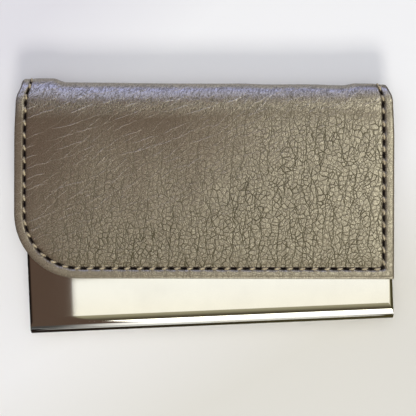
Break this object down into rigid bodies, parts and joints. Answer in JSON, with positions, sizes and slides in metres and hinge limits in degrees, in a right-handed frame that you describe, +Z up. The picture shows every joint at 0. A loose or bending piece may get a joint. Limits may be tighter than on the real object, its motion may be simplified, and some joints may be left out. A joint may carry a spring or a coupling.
{
  "type": "business card case",
  "caption": "Flat clamshell case for business cards: a polished steel tray and hinged lid in a stitched leather wrap that turns around the spine.",
  "frame": {"origin": "on the underside of the back cover, which it rests on, under the middle of the steel tray", "axes": "+X along the hinge, +Y from the front lip to the spine, +Z up out of the lid"},
  "size_m": [0.0998, 0.0656, 0.0122],
  "materials": {
    "steel": "mirror polished",
    "pin": "drawn wire",
    "magnet": "nickel plated",
    "leather": "pebbled, slightly glossy polyurethane coat",
    "interlining": "non-woven",
    "board": "plain",
    "lining": "fine synthetic suede",
    "needle_thread": "bonded, slightly glossy",
    "bobbin_thread": "bonded",
    "adhesive": "dried contact adhesive"
  },
  "bodies": {
    "base": {"tray_shell": "steel", "hinge_pin": "pin", "back_adhesive": "adhesive", "back_lining": "lining", "back_board": "board", "back_leather": "leather", "back_needle_thread": "needle_thread", "back_bobbin_thread": "bobbin_thread", "spine_leather": "leather", "spine_interlining": "interlining", "spine_lining": "lining", "spine_needle_thread_left": "needle_thread", "spine_needle_thread_right": "needle_thread", "spine_bobbin_thread_left": "bobbin_thread", "spine_bobbin_thread_right": "bobbin_thread"},
    "lid": {"lid_shell": "steel", "magnet_left": "magnet", "magnet_right": "magnet", "front_adhesive": "adhesive", "front_lining": "lining", "front_board": "board", "front_leather": "leather", "front_needle_thread": "needle_thread", "front_bobbin_thread": "bobbin_thread"}
  },
  "joints": [
    {"name": "lid_hinge", "type": "hinge", "parent": "base", "child": "lid", "pos_m": [0, 0.02915, 0.0061], "axis": [-1, 0, 0], "range_deg": [0, 110], "deforming": ["spine_leather", "spine_interlining", "spine_lining", "spine_needle_thread_left", "spine_needle_thread_right", "spine_bobbin_thread_left", "spine_bobbin_thread_right"]}
  ]
}
